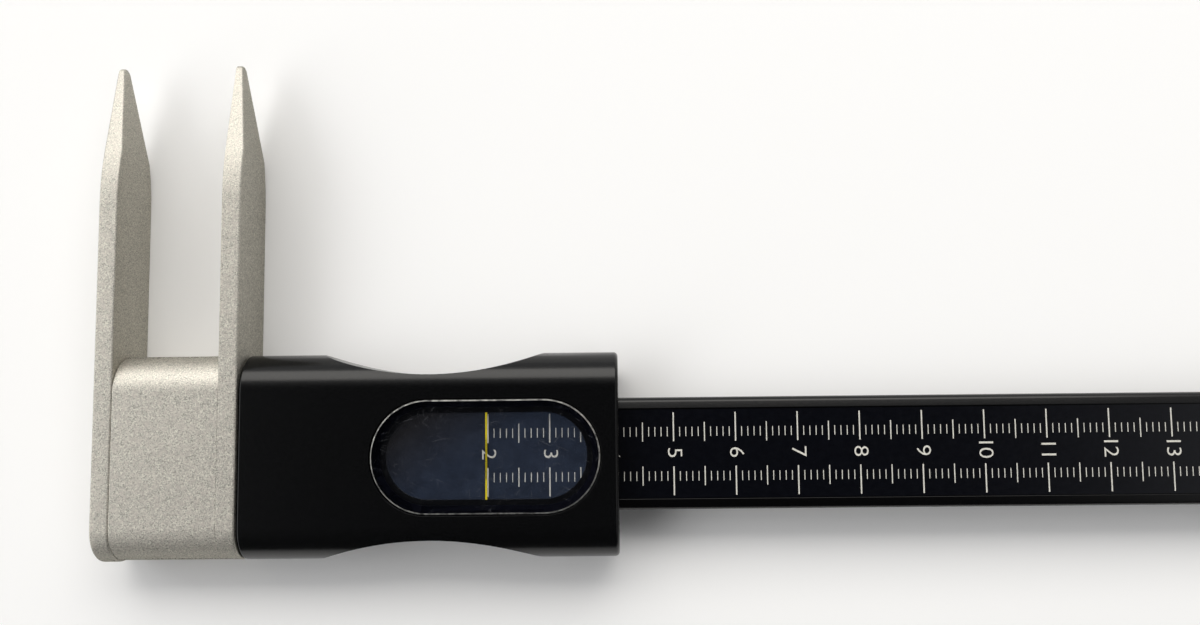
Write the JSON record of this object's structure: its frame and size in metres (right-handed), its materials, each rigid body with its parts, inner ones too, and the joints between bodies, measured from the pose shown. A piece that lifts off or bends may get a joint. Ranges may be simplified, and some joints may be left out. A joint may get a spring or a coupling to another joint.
{
  "type": "knee height caliper",
  "caption": "Flat-beam sliding caliper with two pointed silver blades, a black slider with a clear reading window, and a centimetre scale.",
  "frame": {"origin": "on the outer face of the fixed blade, at the middle of the beam's section", "axes": "+X along the beam away from the fixed blade, +Y towards the blade tips, +Z out of the scale face"},
  "size_m": [0.6738, 0.0825, 0.0116],
  "materials": {
    "black_anodised": "satin black anodised, fine grain",
    "scale_black": "matt blue-black printed film",
    "silver_blasted": "bead-blasted, clear anodised",
    "screw_steel": "bright stainless",
    "black_steel": "blackened",
    "housing_black": "satin black anodised, bead-blasted",
    "clear_lens": "clear acrylic with light scratches",
    "seal_black": "adhesive film",
    "yellow_ink": "filled line",
    "black_glide": "low-friction plastic",
    "spring_steel": "bright spring strip"
  },
  "bodies": {
    "beam_assembly": {"beam": "black_anodised", "scale_strip": "scale_black", "head_block": "silver_blasted", "fixed_blade": "silver_blasted", "fixed_blade_screws": "screw_steel", "head_dowels": "screw_steel", "head_clamp_screws": "black_steel", "end_cap": "housing_black", "end_cap_screws": "black_steel"},
    "slider": {"slider_housing": "housing_black", "moving_blade": "silver_blasted", "moving_blade_screws": "screw_steel", "window_lens": "clear_lens", "lens_seal": "seal_black", "cursor_line": "yellow_ink", "upper_liner": "black_glide", "lower_liner": "black_glide", "brake_spring": "spring_steel", "brake_pad": "black_glide", "tension_screws": "black_steel"}
  },
  "joints": [
    {"name": "slider_travel", "type": "slide", "parent": "beam_assembly", "child": "slider", "axis": [1, 0, 0], "range_m": [0, 0.58]}
  ]
}
